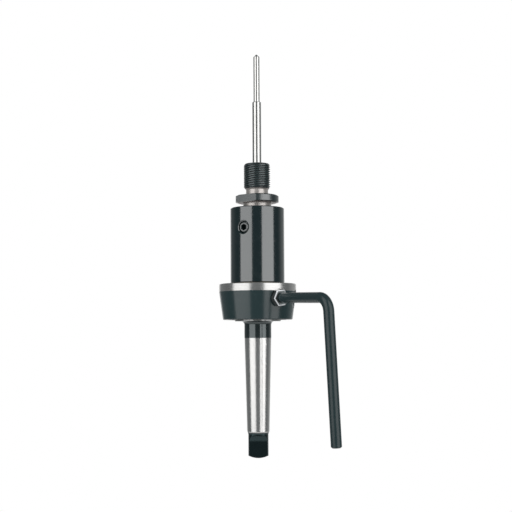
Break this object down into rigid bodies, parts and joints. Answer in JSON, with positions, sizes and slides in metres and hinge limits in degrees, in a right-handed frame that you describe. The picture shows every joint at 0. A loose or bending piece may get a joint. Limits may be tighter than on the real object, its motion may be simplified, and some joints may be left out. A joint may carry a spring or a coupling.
{
  "type": "annular cutter holder",
  "caption": "Taper-shank arbor with a floating coolant ring and bent torque bar, a screw-held thread adapter and a sprung pilot pin for annular cutters.",
  "frame": {"origin": "on the spindle axis at the gauge plane of the taper shank", "axes": "+Z along the spindle axis towards the cutter, -Y to the front, +X to the side of the torque bar"},
  "size_m": [0.0774, 0.0959, 0.274],
  "materials": {
    "black_steel": "black oxide with ground taper",
    "ring_steel": "black oxide with bright rim",
    "bar_steel": "satin black oxide",
    "screw_steel": "satin black oxide",
    "tool_steel": "turned and ground",
    "polished_steel": "ground bright",
    "zinc_plate": "bright zinc",
    "spring_steel": "tempered",
    "bearing_bronze": "turned",
    "seal_rubber": "matte"
  },
  "bodies": {
    "arbor": {"arbor": "black_steel", "thread_adapter": "tool_steel", "adapter_seal": "seal_rubber", "upper_thrust_washer": "bearing_bronze", "lower_thrust_washer": "bearing_bronze", "ring_clip": "spring_steel", "ejector_spring": "spring_steel", "spring_seat": "spring_steel", "stop_washer": "spring_steel", "stop_clip": "spring_steel"},
    "coolant_ring": {"coolant_ring": "ring_steel", "upper_ring_seal": "seal_rubber", "lower_ring_seal": "seal_rubber", "torque_bar": "bar_steel", "lock_nut": "zinc_plate"},
    "ejector": {"pilot_pin": "polished_steel", "ejector_plunger": "tool_steel", "plunger_seal": "seal_rubber"},
    "set_screw_front": {"set_screw_front": "screw_steel"},
    "set_screw_side": {"set_screw_side": "screw_steel"}
  },
  "joints": [
    {"name": "ring_spin", "type": "hinge", "parent": "arbor", "child": "coolant_ring", "pos_m": [0, 0, 0.0311], "axis": [0, 0, 1], "continuous": true},
    {"name": "pin_retract", "type": "slide", "parent": "arbor", "child": "ejector", "axis": [0, 0, -1], "range_m": [0, 0.055], "stiffness_N_per_m": 250, "springref_m": -0.03, "deforming": ["ejector_spring"]},
    {"name": "screw_front_travel", "type": "slide", "parent": "arbor", "child": "set_screw_front", "axis": [-0.515, -0.8572, 0], "range_m": [0, 0.003]},
    {"name": "screw_side_travel", "type": "slide", "parent": "arbor", "child": "set_screw_side", "axis": [-0.8572, 0.515, 0], "range_m": [0, 0.003]}
  ]
}
